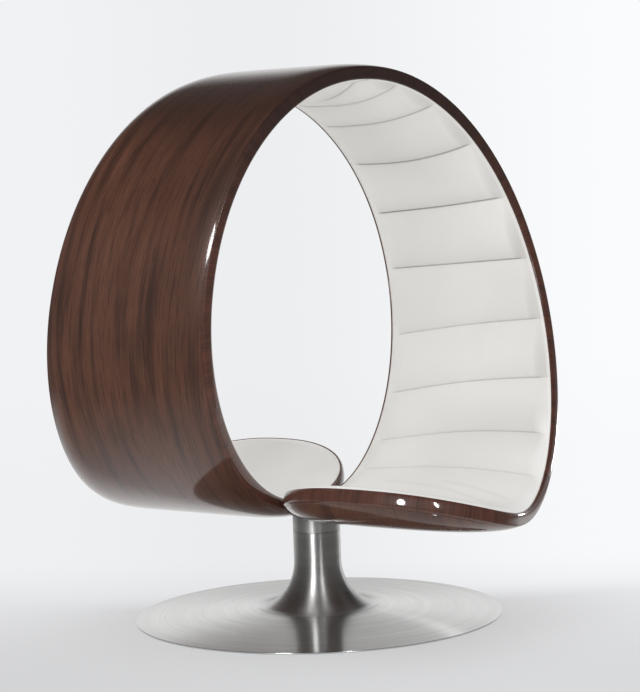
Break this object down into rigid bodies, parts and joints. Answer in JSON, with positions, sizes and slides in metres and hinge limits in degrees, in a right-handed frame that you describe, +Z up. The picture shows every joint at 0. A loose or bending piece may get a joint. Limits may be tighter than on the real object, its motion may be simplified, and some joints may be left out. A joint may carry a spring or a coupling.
{
  "type": "pod chair",
  "caption": "Round wood pod chair: a ribbon curled into a ring ends in two leather seats facing opposite ways, on a swivelling trumpet pedestal with a wide disc foot.",
  "frame": {"origin": "on the floor, on the column's axis", "axes": "+Z up; the ring lies in the XZ plane and is seen through along Y; the front seat lies toward -Y and its nose points to -X"},
  "size_m": [1.2674, 1.4, 1.51],
  "materials": {
    "wood_veneer": "dark reddish-brown veneer under gloss lacquer",
    "leather": "off-white, fine grain, satin",
    "foam": "open-cell foam with a lining",
    "raw_wood": "unfinished beech and birch ply",
    "brushed_steel": "brushed round the axis",
    "black_steel": "dark primer",
    "zinc_steel": "zinc plated and ground steel",
    "bronze": "sintered bronze",
    "rubber": "matt black"
  },
  "bodies": {
    "base": {"base_disc": "brushed_steel", "column_trumpet": "brushed_steel", "base_plate": "black_steel", "ballast_plate": "black_steel", "floor_ring": "rubber", "centre_post": "black_steel", "column_ring": "black_steel", "lower_bush": "bronze", "upper_bush": "bronze", "lower_race": "zinc_steel", "post_bolt_1": "zinc_steel", "post_bolt_2": "zinc_steel", "post_bolt_3": "zinc_steel", "post_bolt_4": "zinc_steel"},
    "pod": {"shell_front": "wood_veneer", "shell_rear": "wood_veneer", "rim_strip_front": "wood_veneer", "rim_strip_rear": "wood_veneer", "leather_cover_front": "leather", "leather_cover_rear": "leather", "foam_front": "foam", "foam_rear": "foam", "joint_dowel_1": "raw_wood", "joint_dowel_2": "raw_wood", "joint_dowel_3": "raw_wood", "joint_dowel_4": "raw_wood", "splice_strap": "raw_wood", "swivel_collar": "brushed_steel", "clamp_bar_front": "black_steel", "clamp_bar_rear": "black_steel", "saddle": "black_steel", "spindle": "black_steel", "strap_screw_1": "zinc_steel", "strap_screw_2": "zinc_steel", "strap_screw_3": "zinc_steel", "strap_screw_4": "zinc_steel", "strap_screw_5": "zinc_steel", "strap_screw_6": "zinc_steel", "saddle_bolt_1": "zinc_steel", "saddle_bolt_2": "zinc_steel", "saddle_bolt_3": "zinc_steel", "saddle_bolt_4": "zinc_steel", "keeper_washer": "zinc_steel", "lock_nut": "zinc_steel", "upper_race": "zinc_steel"},
    "bearing_cage": {"ball_cage": "bronze", "bearing_ball_1": "zinc_steel", "bearing_ball_2": "zinc_steel", "bearing_ball_3": "zinc_steel", "bearing_ball_4": "zinc_steel", "bearing_ball_5": "zinc_steel", "bearing_ball_6": "zinc_steel", "bearing_ball_7": "zinc_steel", "bearing_ball_8": "zinc_steel"}
  },
  "joints": [
    {"name": "swivel", "type": "hinge", "parent": "base", "child": "pod", "pos_m": [0, 0, 0.25], "axis": [0, 0, 1], "continuous": true},
    {"name": "cage_turn", "type": "hinge", "parent": "base", "child": "bearing_cage", "pos_m": [0, 0, 0.2356], "axis": [0, 0, 1], "continuous": true}
  ],
  "couplings": [
    {"joint": "cage_turn", "follows": "swivel", "ratio": 0.5}
  ]
}
